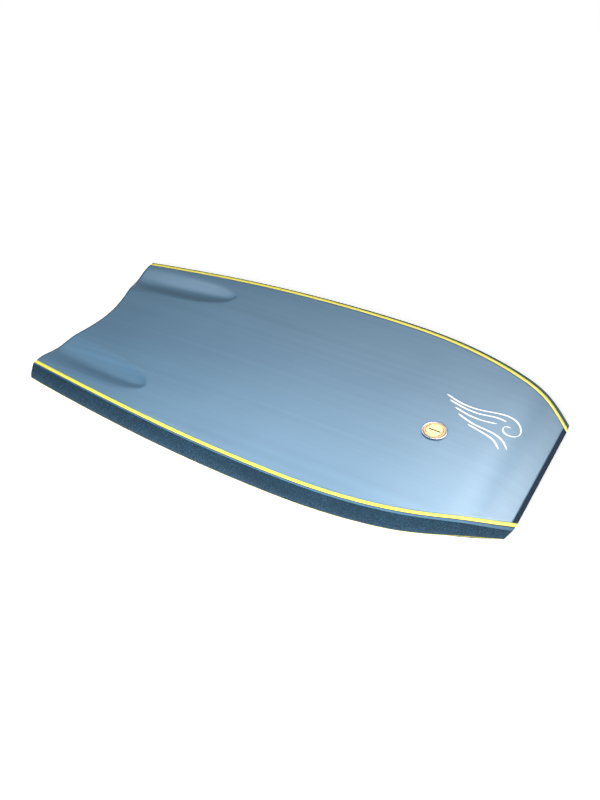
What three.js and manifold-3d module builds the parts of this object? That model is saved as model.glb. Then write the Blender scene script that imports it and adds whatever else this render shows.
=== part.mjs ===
// A bodyboard: a beaded-foam core with a stringer inside, a mesh and a skin laminated on each face,
// two-layer foam rails with thin contrasting pinlines, nose and tail bumpers, and a leash plug that
// screws together through it.
//
// Millimetres, +Z up. The board lies on its deck with the slick, its riding surface, upwards. The
// tail is at -X and the nose at +X. Left and right are a rider's, lying on the deck: left is -Y.
//
// Every layer is drawn in the board's own frame, where the flat of the deck is z = 0 and the tail
// tips are at x = 0. One group then pitches the board until its tail and its nose both touch the
// ground, and centres it there.

import * as THREE from "three";
import { mergeVertices } from "three/addons/utils/BufferGeometryUtils.js";
import Module from "manifold-3d";

const wasm = await Module();
wasm.setup();

// ---- Driving dimensions ------------------------------------------------------------------------------

const glueGap = 0.3; // between any two laminated faces

// Plan shape: widths over the pinlines, each named by where it is along the board.
const length = 1067;
const tailWidth = 437;
const hipWidth = 511;
const waistWidth = 552;
const chestWidth = 545;
const shoulderWidth = 505;
const templeWidth = 434;
const browWidth = 366;
const noseWidth = 301;
const crescentDepth = 34; // how far the tail is cut in between its tips
const crescentHalfWidth = 200;
const tailCornerSetback = 1; // how far the rails' tail corners are rounded back
const noseCornerSetback = 3;

// Height of the slick above the flat of the deck, from tail to nose.
const tailHeight = 49.4;
const hipHeight = 54.8;
const waistHeight = 55.6;
const middleHeight = 54;
const shoulderHeight = 51.4;
const templeHeight = 47.4;
const browHeight = 39;
const noseHeight = 12.7;

// The deck is flat between its tail and its nose bend.
const deckTailRise = 3.5;
const deckTailBend = 125; // length of the bend
const deckNoseDrop = 29;
const deckNoseBend = 405;

// Layers, from the slick inwards and from the deck inwards.
const slickFilm = 1.5;
const slickBacking = 3;
const reinforcingMesh = 0.6;
const deckFoam = 5;

// Rails.
const pinlineWidth = 8; // the strip that shows beside the slick
const railLip = 2; // flat rail foam beside it
const tailBevel = 1.2; // the bevel beside that, which widens towards the nose
const noseBevel = 6.5;
const railBevelDrop = 0.9;
const apexShare = 0.62; // depth of the rail's widest line, as a share of the board's thickness there
const noseApexShare = 0.44;
const apexOut = 18.5; // how far the widest line is outside the pinline
const noseApexOut = 12.5;
const railPinline = 2.5; // thickness of the strip between rail and chine
const chineRun = 23; // how far the chine runs back in to the deck
const tailChineRun = 11;
const noseChineRun = 20;
const railEndTaper = 215; // length over which the rail changes shape towards each end

// Bumpers.
const tailLip = 2; // the part of the tail bumper that is flush with the slick
const tailBumper = 10;
const noseBand = 8.5; // the part of the nose bumper that is flush with the slick
const noseUndercut = 22; // how far the nose leans back down to the deck

// Tail channels, one hollow near each rail. Each gets deeper and narrower along its flare.
const channelTailDepth = 7.5;
const channelDepth = 9;
const channelTailHalfWidth = 55;
const channelHalfWidth = 48;
const channelLength = 260;
const channelFlare = 156;
const channelOffset = 149; // from the centreline, at the tail
const channelToeOut = 29; // how much further out its closed end is

// Bulbs on the deck, near the nose corners.
const bulbHeight = 5;
const bulbFromNose = 105;
const bulbOffset = 105;
const bulbLength = 60; // from its middle to its end
const bulbWidth = 45;

// Stringer.
const stringerFromTail = 66; // from the tail tips to the near end of the tube
const stringerFromNose = 261;
const stringerRadius = 7;
const stringerWall = 1.2;
const boreClearance = 0.3;
const capLength = 14;
const capFlange = 3;

// Leash plug.
const plugFromNose = 221;
const plugOffset = 20; // off the centreline, towards the rider's left
const flangeRadius = 26;
const flangeThickness = 1.6;
const inlayThickness = 0.8;
const trimRingWidth = 3.8;
const sleeveRadius = 9;
const sleeveBore = 6;
const sleeveRoof = 5;
const sleeveSlack = 5; // left between the sleeve and the cup when the plug is screwed up tight
const threadClearance = 0.3;
const deckFlangeRadius = 22;
const cupRadius = 14;
const cupWall = 2.5;
const cupDepth = 15;
const cupFloor = 3;
const sealWidth = 3.5;
const sealHeight = 3;
const coinSlotLength = 26;
const coinSlotWidth = 2.6;
const coinSlotDepth = 0.7; // below the badge
const cordBarRadius = 2.2;
const cordBarInset = 2.4; // from the cup's mouth to the bar
const cordBarSeat = 1.5; // how far each end sits in the cup's wall

// Sides of a round piece.
const roundSides = 24;

// ---- Shape of the board ------------------------------------------------------------------------------

const mix = (a, b, share) => a + (b - a) * share;
const clamp01 = (value) => Math.min(1, Math.max(0, value));
const smoothStep = (value) => clamp01(value) ** 2 * (3 - 2 * clamp01(value));

// A natural cubic through [position, value] points.
function naturalCubic(points) {
  const last = points.length - 1;
  const at = points.map((point) => point[0]);
  const value = points.map((point) => point[1]);
  const bend = new Array(last + 1).fill(0);
  const carry = new Array(last + 1).fill(0);
  const slope = (i) => (value[i + 1] - value[i]) / (at[i + 1] - at[i]);
  for (let i = 1; i < last; i++) {
    const span = at[i + 1] - at[i - 1];
    const share = (at[i] - at[i - 1]) / span;
    const pivot = share * bend[i - 1] + 2;
    bend[i] = (share - 1) / pivot;
    carry[i] = ((6 * (slope(i) - slope(i - 1))) / span - share * carry[i - 1]) / pivot;
  }
  for (let i = last - 1; i > 0; i--) bend[i] = bend[i] * bend[i + 1] + carry[i];
  bend[0] = 0;
  bend[last] = 0;
  return (x) => {
    let i = 0;
    while (i < last - 1 && x > at[i + 1]) i++;
    const span = at[i + 1] - at[i];
    const a = (at[i + 1] - x) / span;
    const b = (x - at[i]) / span;
    const curve = (a ** 3 - a) * bend[i] + (b ** 3 - b) * bend[i + 1];
    return a * value[i] + b * value[i + 1] + (curve * span ** 2) / 6;
  };
}

// Where along the board each width and height is, as a share of the length.
const halfWidthCurve = naturalCubic([
  [0, tailWidth / 2],
  [0.25, hipWidth / 2],
  [0.55, waistWidth / 2],
  [0.68, chestWidth / 2],
  [0.8, shoulderWidth / 2],
  [0.9, templeWidth / 2],
  [0.96, browWidth / 2],
  [1, noseWidth / 2],
]);
const heightCurve = naturalCubic([
  [0, tailHeight],
  [0.2, hipHeight],
  [0.4, waistHeight],
  [0.6, middleHeight],
  [0.75, shoulderHeight],
  [0.87, templeHeight],
  [0.94, browHeight],
  [1, noseHeight],
]);
const halfWidth = (x) => halfWidthCurve(x / length);
const slickHeight = (x) => heightCurve(x / length);

function deckHeight(x) {
  const tail = clamp01((deckTailBend - x) / deckTailBend);
  const nose = clamp01((x - (length - deckNoseBend)) / deckNoseBend);
  return deckTailRise * tail ** 2 - deckNoseDrop * nose ** 4;
}

// Distance from the centreline of the line that runs a given way outside the pinlines' outer edge, at x.
function sideAt(x, out) {
  let t = x;
  let root = 1;
  for (let i = 0; i < 6; i++) {
    const slope = (halfWidth(t + 1) - halfWidth(t - 1)) / 2;
    root = Math.hypot(1, slope);
    t = x + (out * slope) / root;
  }
  return halfWidth(t) + out / root;
}
const innerEdge = (x) => sideAt(x, -pinlineWidth);

function tailEdge(y) {
  const outside = Math.abs(y) - tailWidth / 2;
  if (outside > 0) return tailCornerSetback * (outside / apexOut) ** 2;
  return (crescentDepth * (1 + Math.cos(Math.PI * Math.min(1, Math.abs(y) / crescentHalfWidth)))) / 2;
}

// The nose end leans back from the slick down to the deck, and a layer that stops short of it leans
// the same way.
const noseDeckHeight = deckHeight(length - noseUndercut);
function noseEdge(x, y, z, inset) {
  const outside = Math.max(0, Math.abs(y) - innerEdge(x)) / (sideAt(x, noseApexOut) - innerEdge(x));
  const lean = (slickHeight(length - inset) - z) / (noseHeight - noseDeckHeight);
  return length - inset - noseUndercut * lean - noseCornerSetback * outside ** 2;
}

// Depth of the tail channels below the slick, and height of the bulbs above the deck.
function channelAt(x, y) {
  const along = clamp01(x / channelLength);
  if (along === 1) return 0;
  const flare = smoothStep(x / channelFlare);
  const taper = Math.sqrt(1 - along ** 4);
  const reach = mix(channelTailHalfWidth, channelHalfWidth, flare) * taper;
  const depth = mix(channelTailDepth, channelDepth, flare) * taper;
  const across = (Math.abs(y) - channelOffset - channelToeOut * along) / reach;
  return Math.abs(across) < 1 ? depth * Math.cos((Math.PI * across) / 2) ** 2 : 0;
}
function bulbAt(x, y) {
  const along = (x - length + bulbFromNose) / bulbLength;
  const reach = Math.hypot(along, (Math.abs(y) - bulbOffset) / bulbWidth);
  return reach < 1 ? bulbHeight * Math.cos((Math.PI * reach) / 2) ** 2 : 0;
}

// Height rules: a depth below the slick, or above the deck.
const underSlick = (depth) => (x, y) => slickHeight(x) - channelAt(x, y) - depth;
const overDeck = (depth) => (x, y) => deckHeight(x) - bulbAt(x, y) + depth;

// Side rules: a share of the way from the centreline to the inner edge of the pinline.
const across = (share) => (x) => share * innerEdge(x);

// ---- Rail section ------------------------------------------------------------------------------------

const towardsTail = (x) => 1 - smoothStep(x / railEndTaper);
const towardsNose = (x) => smoothStep((x - length + railEndTaper) / railEndTaper);
const thickness = (x) => slickHeight(x) - deckHeight(x);
const apexDepth = (x) => mix(apexShare, noseApexShare, towardsNose(x)) * thickness(x);
const apexSide = (x) => mix(apexOut, noseApexOut, towardsNose(x));
const shoulder = (x) => railLip + mix(tailBevel, noseBevel, (x / length) ** 2);
const chineRunAt = (x) => mix(mix(chineRun, tailChineRun, towardsTail(x)), noseChineRun, towardsNose(x));

// Side of the chine at a height above the deck.
function chineSide(x, rise) {
  const drop = thickness(x) - rise - apexDepth(x);
  return apexSide(x) - (chineRunAt(x) * drop) / (thickness(x) - apexDepth(x));
}

// A point of the rail, from how far outside the pinlines and how far below the slick it is.
function railPoint(sign, out, depth) {
  return { side: (x) => sign * sideAt(x, out(x)), height: (x) => slickHeight(x) - depth(x) };
}

// ---- Meshes and solids -------------------------------------------------------------------------------

const plugX = length - plugFromNose;
const plugSeat = flangeRadius + 4;

// Stations along the board, shared by every layer: through the channels, and on to where the nose
// end begins.
const tailEndRoom = crescentDepth + tailBumper + 16;
const noseEndRoom = noseUndercut + noseBand + 8;
const channelShares = [0, 0.22, 0.44, 0.64, 0.8, 0.92, 1];
const channelStations = channelShares.map((share) => mix(tailEndRoom, channelLength, share));
const bodyShares = [0.12, 0.28, 0.44, 0.58, 0.86, 0.92, 0.96, 1];
const bodyStations = bodyShares.map((share) => mix(channelLength, length - noseEndRoom, share));
const plugStations = [plugX - plugSeat, plugX + plugSeat]; // flat between them, under the plug's flanges
const stations = [...channelStations, ...bodyStations, ...plugStations].sort((a, b) => a - b);

// Lines across the board, as shares of the way out to the inner edge of the pinlines.
const halfLines = [0, 0.15, 0.3, 0.43, 0.52, 0.61, 0.7, 0.79, 0.88, 0.95, 1];
const lines = [...halfLines.slice(1).reverse().map((share) => -share), ...halfLines];

// A point is on a side rule and a height rule, at a station or at the tail or nose end of a layer.
function pointAt(x, { side, height }) {
  const y = side(x);
  return [x, y, height(x, y)];
}
function pointAtEnd({ side, height }, start, edge) {
  let x = start;
  for (let i = 0; i < 24; i++) {
    const y = side(x);
    x = edge(x, y, height(x, y));
  }
  return pointAt(x, { side, height });
}
function pointAtTail(rule, inset) {
  return pointAtEnd(rule, 0, (x, y) => tailEdge(y) + inset);
}
function pointAtNose(rule, inset) {
  return pointAtEnd(rule, length - inset, (x, y, z) => noseEdge(x, y, z, inset));
}

// Rings of a section's points from the tail to one or more nose insets.
function ringsAlong(section, tailInset, ...noseInsets) {
  return [
    section.map((rule) => pointAtTail(rule, tailInset)),
    ...stations.map((x) => section.map((rule) => pointAt(x, rule))),
    ...noseInsets.map((inset) => section.map((rule) => pointAtNose(rule, inset))),
  ];
}

// A closed mesh through rings of points. Each face between two rings is split along its shorter
// diagonal, so that the facing sides of two layers bend alike. The given cap closes both ends.
function loft(rings, cap) {
  const count = rings[0].length;
  const points = rings.flat().map((point) => new THREE.Vector3(...point));
  const faces = [];
  for (let i = 0; i < rings.length - 1; i++) {
    for (let j = 0; j < count; j++) {
      const a = i * count + j;
      const b = i * count + ((j + 1) % count);
      const [c, d] = [b + count, a + count];
      const split = points[a].distanceTo(points[c]) < points[b].distanceTo(points[d]);
      faces.push(...(split ? [[a, b, c], [a, c, d]] : [[a, b, d], [b, c, d]]));
    }
  }
  const last = points.length - count;
  faces.push(...cap(rings[0]).map(([a, b, c]) => [c, b, a]));
  faces.push(...cap(rings[rings.length - 1]).map((face) => face.map((corner) => last + corner)));
  const wedge = ([a, b, c]) => points[a].dot(points[b].clone().cross(points[c]));
  const volume = faces.reduce((sum, face) => sum + wedge(face), 0);
  const geometry = new THREE.BufferGeometry();
  geometry.setAttribute("position", new THREE.Float32BufferAttribute(rings.flat(2), 3));
  geometry.setIndex((volume < 0 ? faces.map(([a, b, c]) => [c, b, a]) : faces).flat());
  return geometry;
}

// Caps turn the same way as their ring. A stout ring is triangulated as seen along x or y.
function stoutCap(first, second) {
  return (ring) => {
    const flat = ring.map((point) => new THREE.Vector2(point[first], point[second]));
    const turn = THREE.ShapeUtils.area(flat);
    const faces = THREE.ShapeUtils.triangulateShape(flat, []);
    return faces.map(([a, b, c]) => {
      return THREE.ShapeUtils.area([flat[a], flat[b], flat[c]]) * turn > 0 ? [a, b, c] : [a, c, b];
    });
  };
}
const alongX = stoutCap(1, 2);
const alongY = stoutCap(0, 2);

// A thin ring, whose first half runs across its upper face and whose other half runs back under it,
// is laced up.
function lacedCap(ring) {
  const faces = [];
  for (let upper = 0; upper < ring.length / 2 - 1; upper++) {
    const lower = ring.length - 1 - upper;
    faces.push([upper, upper + 1, lower], [upper + 1, lower - 1, lower]);
  }
  return faces;
}

// A solid of revolution about z, from a closed or axis-to-axis profile of [radius, height] points.
function turned(profile) {
  const points = profile.map(([radius, height]) => new THREE.Vector2(radius, height));
  return new THREE.LatheGeometry(points, roundSides).rotateX(Math.PI / 2);
}

function disc(radius, bottom, top) {
  return turned([[0, bottom], [radius, bottom], [radius, top], [0, top]]);
}

function ring(inner, outer, bottom, top) {
  return turned([[inner, bottom], [outer, bottom], [outer, top], [inner, top], [inner, bottom]]);
}

function toSolid(geometry) {
  const bare = geometry.clone();
  for (const extra of ["normal", "uv"]) bare.deleteAttribute(extra);
  const merged = mergeVertices(bare, 1e-4);
  const triVerts = Uint32Array.from(merged.index.array);
  const mesh = new wasm.Mesh({ numProp: 3, vertProperties: merged.attributes.position.array, triVerts });
  return new wasm.Manifold(mesh);
}

function toGeometry(solid) {
  const { vertProperties, triVerts } = solid.getMesh();
  const geometry = new THREE.BufferGeometry();
  geometry.setAttribute("position", new THREE.Float32BufferAttribute(vertProperties, 3));
  geometry.setIndex(new THREE.Uint32BufferAttribute(triVerts, 1));
  return geometry;
}

function cut(geometry, ...tools) {
  return toGeometry(tools.reduce((solid, tool) => solid.subtract(toSolid(tool)), toSolid(geometry)));
}

function finish(color, roughness, metalness = 0) {
  return new THREE.MeshStandardMaterial({ color, roughness, metalness });
}

function piece(name, geometry, material) {
  const mesh = new THREE.Mesh(geometry, material);
  mesh.name = name;
  return mesh;
}

// ---- Laminated layers --------------------------------------------------------------------------------

// A sheet between an upper and a lower height rule, out to the inner edge of the pinlines.
function sheet(upper, lower, tailInset) {
  const face = (height) => lines.map((line) => ({ side: across(line), height }));
  return loft(ringsAlong([...face(upper), ...face(lower).reverse()], tailInset, noseBand), lacedCap);
}

// Depths of the faces, below the slick and above the deck.
const backingTop = slickFilm + glueGap;
const pinlineDepth = backingTop + slickBacking;
const slickMeshTop = pinlineDepth + glueGap;
const slickMeshBottom = slickMeshTop + reinforcingMesh;
const coreTop = slickMeshBottom + glueGap;
const deckMeshBottom = deckFoam + glueGap;
const deckMeshTop = deckMeshBottom + reinforcingMesh;
const coreBottom = deckMeshTop + glueGap;

const slickSkinLayer = () => sheet(underSlick(0), underSlick(slickFilm), tailLip);
const backingLayer = () => sheet(underSlick(backingTop), underSlick(pinlineDepth), tailLip);
const slickMeshLayer = () => sheet(underSlick(slickMeshTop), underSlick(slickMeshBottom), tailBumper);
const deckMeshLayer = () => sheet(overDeck(deckMeshTop), overDeck(deckMeshBottom), tailBumper);
const coreBlock = () => sheet(underSlick(coreTop), overDeck(coreBottom), tailBumper);

// The deck skin runs out over the bumpers and over the chines.
function deckSkinLayer() {
  const face = (rise) => {
    const height = overDeck(rise);
    const edge = (sign) => ({ side: (x) => sign * sideAt(x, chineSide(x, rise)), height });
    return [edge(-1), ...lines.map((line) => ({ side: across(line), height })), edge(1)];
  };
  return loft(ringsAlong([...face(deckFoam), ...face(0).reverse()], 0, noseBand, 0), lacedCap);
}

// ---- Rails -------------------------------------------------------------------------------------------

const railSolid = (section) => loft(ringsAlong(section, 0, noseBand, 0), alongX);
const railInside = () => glueGap - pinlineWidth;

// The rail foam has a notch for the pinline, a small bevel and a bulging side out to the widest line.
function lowerRail(sign) {
  const point = (out, depth) => railPoint(sign, out, depth);
  const bulge = [0.25, 0.5, 0.75, 1].map((share) => {
    const out = (x) => mix(shoulder(x), apexSide(x), Math.sin((Math.PI * share) / 2));
    return point(out, (x) => mix(railBevelDrop, apexDepth(x), share));
  });
  return railSolid([
    point(railInside, () => pinlineDepth + glueGap),
    point(() => glueGap, () => pinlineDepth + glueGap),
    point(() => glueGap, () => 0),
    point(() => railLip, () => 0),
    point(shoulder, () => railBevelDrop),
    ...bulge,
    point(railInside, apexDepth),
  ]);
}

function slickPinline(sign) {
  const inside = railInside();
  const corners = [[inside, 0], [0, 0], [0, pinlineDepth], [inside, pinlineDepth]];
  return railSolid(corners.map(([out, depth]) => railPoint(sign, () => out, () => depth)));
}

const railPinlineTop = (x) => apexDepth(x) + glueGap;
const railPinlineBottom = (x) => railPinlineTop(x) + railPinline;

function apexPinline(sign) {
  const atBottom = (x) => chineSide(x, thickness(x) - railPinlineBottom(x));
  return railSolid([
    railPoint(sign, railInside, railPinlineTop),
    railPoint(sign, apexSide, railPinlineTop),
    railPoint(sign, atBottom, railPinlineBottom),
    railPoint(sign, railInside, railPinlineBottom),
  ]);
}

function upperChine(sign) {
  const top = (x) => railPinlineBottom(x) + glueGap;
  const bottom = (x) => thickness(x) - deckFoam - glueGap;
  return railSolid([
    railPoint(sign, railInside, top),
    railPoint(sign, (x) => chineSide(x, thickness(x) - top(x)), top),
    railPoint(sign, (x) => chineSide(x, deckFoam + glueGap), bottom),
    railPoint(sign, railInside, bottom),
  ]);
}

// ---- Bumpers -----------------------------------------------------------------------------------------

// Each is lofted across the board, from a section of [end inset, height rule] corners.
function tailBumperBlock() {
  const step = underSlick(slickMeshTop);
  const corners = [
    [0, underSlick(0)],
    [tailLip - glueGap, underSlick(0)],
    [tailLip - glueGap, step],
    [tailBumper - glueGap, step],
    [tailBumper - glueGap, overDeck(deckMeshBottom)],
    [0, overDeck(deckMeshBottom)],
  ];
  const corner = (line, [inset, height]) => pointAtTail({ side: across(line), height }, inset);
  return loft(lines.map((line) => corners.map((each) => corner(line, each))), alongY);
}

function noseBumperBlock() {
  const corners = [
    [noseBand - glueGap, underSlick(0)],
    [0, underSlick(0)],
    [0, overDeck(deckMeshBottom)],
    [noseBand - glueGap, overDeck(deckMeshBottom)],
  ];
  const corner = (line, [inset, height]) => pointAtNose({ side: across(line), height }, inset);
  return loft(lines.map((line) => corners.map((each) => corner(line, each))), alongY);
}

// ---- Stringer ----------------------------------------------------------------------------------------

const stringerHeight = (waistHeight + coreBottom - coreTop) / 2;
const stringerEnd = length - stringerFromNose;
const stringerLength = stringerEnd - stringerFromTail;
const tubeBore = stringerRadius - stringerWall;

// Round pieces of the stringer are turned about z, then laid along x.
function alongBoard(geometry, x) {
  return geometry.rotateY(Math.PI / 2).translate(x, 0, stringerHeight);
}

function stringerTube() {
  return alongBoard(ring(tubeBore, stringerRadius, 0, stringerLength), stringerFromTail);
}

function stringerCap() {
  const stem = tubeBore - glueGap;
  return turned([
    [0, -capFlange],
    [stringerRadius, -capFlange],
    [stringerRadius, -glueGap],
    [stem, -glueGap],
    [stem, capLength],
    [0, capLength],
  ]);
}

// The bore runs in from the core's tail end, and a foam plug closes it behind the stringer.
const boreRadius = stringerRadius + boreClearance;
const boreMouth = tailEdge(0) + tailBumper;

function stringerBore() {
  const overshoot = 20;
  const start = boreMouth - overshoot;
  const end = stringerEnd + capFlange + glueGap;
  return alongBoard(disc(boreRadius, 0, end - start), start);
}

function borePlug() {
  const depth = stringerFromTail - capFlange - glueGap - boreMouth;
  return alongBoard(disc(stringerRadius, 0, depth), boreMouth);
}

// ---- Leash plug --------------------------------------------------------------------------------------

// Drawn about z with the slick at z = 0 and the deck at -plugSpan, then leant with the slick.
const middleOfSeat = (height) => (height(plugX - plugSeat) + height(plugX + plugSeat)) / 2;
const plugSlope = (slickHeight(plugX + plugSeat) - slickHeight(plugX - plugSeat)) / (2 * plugSeat);
const plugSpan = middleOfSeat(slickHeight) - middleOfSeat(deckHeight);
const flangeTop = glueGap + flangeThickness;
const inlayBottom = flangeTop + glueGap;
const inlayTop = inlayBottom + inlayThickness;
const badgeRadius = flangeRadius - trimRingWidth - glueGap;
const deckFlangeTop = -plugSpan - glueGap;
const cupMouth = deckFlangeTop - flangeThickness;
const cupBore = cupRadius - cupWall;
const cupRoof = cupMouth + cupDepth;
const cupTop = cupRoof + cupFloor;
const postRadius = sleeveBore - threadClearance;
const sleeveEnd = cupTop + sleeveSlack;

function coinSlot() {
  const depth = inlayThickness + glueGap + coinSlotDepth;
  return new THREE.BoxGeometry(coinSlotLength, coinSlotWidth, 2 * depth).translate(0, 0, inlayTop);
}

function plugSlickHalf() {
  const profile = [
    [0, flangeTop],
    [flangeRadius, flangeTop],
    [flangeRadius, glueGap],
    [sleeveRadius, glueGap],
    [sleeveRadius, sleeveEnd],
    [sleeveBore, sleeveEnd],
    [sleeveBore, -sleeveRoof],
    [0, -sleeveRoof],
  ];
  return cut(turned(profile.reverse()), coinSlot());
}

const plugBadge = () => cut(disc(badgeRadius, inlayBottom, inlayTop), coinSlot());
const trimRing = () => ring(flangeRadius - trimRingWidth, flangeRadius, inlayBottom, inlayTop);
const seal = (inner, bottom) => ring(inner + glueGap, inner + sealWidth, bottom, bottom + sealHeight);
const slickSeal = () => seal(sleeveRadius, -sealHeight);
const deckSeal = () => seal(cupRadius, -plugSpan);

function cordBar(radius, seat) {
  const halfLength = cupBore + seat;
  const bar = disc(radius, -halfLength, halfLength).rotateX(Math.PI / 2);
  return bar.translate(0, 0, cupMouth + cordBarInset + cordBarRadius);
}

function plugDeckHalf() {
  const postTop = -sleeveRoof - 2 * threadClearance;
  const profile = [
    [0, cupRoof],
    [cupBore, cupRoof],
    [cupBore, cupMouth],
    [deckFlangeRadius, cupMouth],
    [deckFlangeRadius, deckFlangeTop],
    [cupRadius, deckFlangeTop],
    [cupRadius, cupTop],
    [postRadius, cupTop],
    [postRadius, postTop],
    [0, postTop],
  ];
  return cut(turned(profile), cordBar(cordBarRadius + glueGap, cordBarSeat + glueGap));
}

// The hole through the board: wide for the cup, narrow for the sleeve, and widened for the seal at
// each face.
function plugHole() {
  const overshoot = 10;
  const slickSealRadius = sleeveRadius + sealWidth + glueGap;
  const deckSealRadius = cupRadius + sealWidth + glueGap;
  const deckSealTop = -plugSpan + sealHeight + glueGap;
  return turned([
    [0, -plugSpan - overshoot],
    [deckSealRadius, -plugSpan - overshoot],
    [deckSealRadius, deckSealTop],
    [cupRadius + glueGap, deckSealTop],
    [cupRadius + glueGap, cupTop + glueGap],
    [sleeveRadius + glueGap, cupTop + glueGap],
    [sleeveRadius + glueGap, -sealHeight - glueGap],
    [slickSealRadius, -sealHeight - glueGap],
    [slickSealRadius, overshoot],
    [0, overshoot],
  ]);
}

const plugPlace = new THREE.Group();
plugPlace.position.set(plugX, -plugOffset, middleOfSeat(slickHeight));
plugPlace.rotation.y = Math.atan(-plugSlope);
plugPlace.updateMatrix();

// ---- Assembly ----------------------------------------------------------------------------------------

const board = new THREE.Group();
const plugTool = plugHole().applyMatrix4(plugPlace.matrix);

board.add(
  piece("slick_skin", cut(slickSkinLayer(), plugTool), finish(0x7696b1, 0.22)),
  piece("slick_backing", cut(backingLayer(), plugTool), finish(0x5c7c94, 0.8)),
  piece("slick_mesh", cut(slickMeshLayer(), plugTool), finish(0xd8dcdc, 0.6)),
  piece("core", cut(coreBlock(), plugTool, stringerBore()), finish(0xe9ecec, 0.85)),
  piece("deck_mesh", cut(deckMeshLayer(), plugTool), finish(0xd8dcdc, 0.6)),
  piece("deck_skin", cut(deckSkinLayer(), plugTool), finish(0x26343f, 0.75)),
  piece("nose_bumper", noseBumperBlock(), finish(0x334450, 0.7)),
  piece("tail_bumper", tailBumperBlock(), finish(0x334450, 0.7)),
);
for (const [hand, sign] of [["left", -1], ["right", 1]]) {
  board.add(
    piece(`rail_${hand}`, lowerRail(sign), finish(0x344853, 0.65)),
    piece(`chine_${hand}`, upperChine(sign), finish(0x2c3c47, 0.7)),
    piece(`slick_pinline_${hand}`, slickPinline(sign), finish(0xf6f77e, 0.5)),
    piece(`rail_pinline_${hand}`, apexPinline(sign), finish(0xd9d872, 0.5)),
  );
}

const noseCap = alongBoard(stringerCap().rotateX(Math.PI), stringerEnd);
board.add(
  piece("stringer_tube", stringerTube(), finish(0x1c1d1f, 0.35)),
  piece("stringer_tail_cap", alongBoard(stringerCap(), stringerFromTail), finish(0xd5d3cc, 0.5)),
  piece("stringer_nose_cap", noseCap, finish(0xd5d3cc, 0.5)),
  piece("stringer_bore_plug", borePlug(), finish(0xe9ecec, 0.85)),
);

plugPlace.add(
  piece("plug_slick_half", plugSlickHalf(), finish(0x2a2d31, 0.4)),
  piece("plug_deck_half", plugDeckHalf(), finish(0x2a2d31, 0.4)),
  piece("plug_badge", plugBadge(), finish(0xf1e3bd, 0.3, 0.9)),
  piece("plug_trim_ring", trimRing(), finish(0xd7dadd, 0.15, 1)),
  piece("plug_cord_bar", cordBar(cordBarRadius, cordBarSeat), finish(0xb9bdc1, 0.25, 1)),
  piece("plug_slick_seal", slickSeal(), finish(0x17181a, 0.8)),
  piece("plug_deck_seal", deckSeal(), finish(0x17181a, 0.8)),
);
board.add(plugPlace);

// The pitch that stands the board on its nose and its tail: that of the flattest line under the deck
// from the nose's lower edge.
const noseContact = length - noseUndercut;
const pitches = [0, ...stations].map((x) => (noseDeckHeight - deckHeight(x)) / (noseContact - x));
board.rotation.y = Math.atan(Math.max(...pitches));

const part = new THREE.Group();
part.add(board);
const box = new THREE.Box3().setFromObject(part, true);
const middle = box.getCenter(new THREE.Vector3());
board.position.set(-middle.x, -middle.y, -box.min.z);

export default part;
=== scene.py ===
import math

import bmesh
import bpy
import numpy as np
from mathutils import Matrix, Vector


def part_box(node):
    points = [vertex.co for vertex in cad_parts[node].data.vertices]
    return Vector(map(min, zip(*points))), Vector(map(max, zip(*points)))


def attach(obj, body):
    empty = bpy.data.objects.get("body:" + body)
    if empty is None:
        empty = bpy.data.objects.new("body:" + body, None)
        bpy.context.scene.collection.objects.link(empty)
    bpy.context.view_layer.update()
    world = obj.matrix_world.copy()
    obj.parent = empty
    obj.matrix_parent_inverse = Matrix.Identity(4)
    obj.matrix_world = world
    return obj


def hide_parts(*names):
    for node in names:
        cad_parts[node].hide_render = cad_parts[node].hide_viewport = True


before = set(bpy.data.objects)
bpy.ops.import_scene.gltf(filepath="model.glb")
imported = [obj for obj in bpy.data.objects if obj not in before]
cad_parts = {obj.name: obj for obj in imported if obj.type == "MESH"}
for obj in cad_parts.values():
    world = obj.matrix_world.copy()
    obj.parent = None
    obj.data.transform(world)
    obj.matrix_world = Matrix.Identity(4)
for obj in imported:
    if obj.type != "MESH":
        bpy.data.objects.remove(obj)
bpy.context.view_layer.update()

# A bodyboard lying on its deck. Its laminated foam layers, rails, pinlines and bumpers are drawn in
# the board's own frame, in millimetres: tail tips at x = 0, flat of the deck at z = 0, slick above.
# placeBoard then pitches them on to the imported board.

scene = bpy.context.scene
mm = 0.001
glueGap = 0.3  # between any two laminated faces
mergeGap = 0.01  # points that are nearer than this become one
overshoot = 10  # how far a cutting solid runs past the faces that it cuts
settleSteps = {"side": 6, "end": 16}  # rounds that settle a point on a side and on an end

board = {
    "length": 1067,
    "widths": [  # of the slick, pinlines included, each after its share of the length
        (0, 437), (0.25, 511), (0.55, 552), (0.68, 545), (0.8, 505), (0.9, 434), (0.96, 366), (1, 301),
    ],
    "widestAt": 0.55,
    "slickHeights": [
        (0, 49.4), (0.2, 54.8), (0.4, 55.6), (0.6, 54), (0.75, 51.4), (0.87, 47.4), (0.94, 39), (1, 12.7),
    ],
    "crescentDepth": 34,
    "crescentHalfWidth": 200,
    "tailCornerSetback": 1,
    "noseCornerSetback": 3,
    "deckTailRise": 3.5,
    "deckTailBend": 125,
    "deckNoseDrop": 29,
    "deckNoseBend": 405,
    "pitch": -1.40392,  # degrees, which stands the board on its nose and its tail
}

layers = {
    "film": 1.5,
    "backing": 3,
    "mesh": 0.6,
    "deck": 5,
    "columns": 88,  # faces across the board
    "tailRows": 16,  # faces along it, from the tail to the nose end
    "closingRows": 26,
    "bodyRows": 96,
    "endRows": 10,
    "closingStart": 0.24,  # share of a half turn, whose sine spaces the rows where the channels close
    "tailMargin": 16,  # from the bumpers to the first and last rows
    "noseMargin": 8,
}

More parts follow.
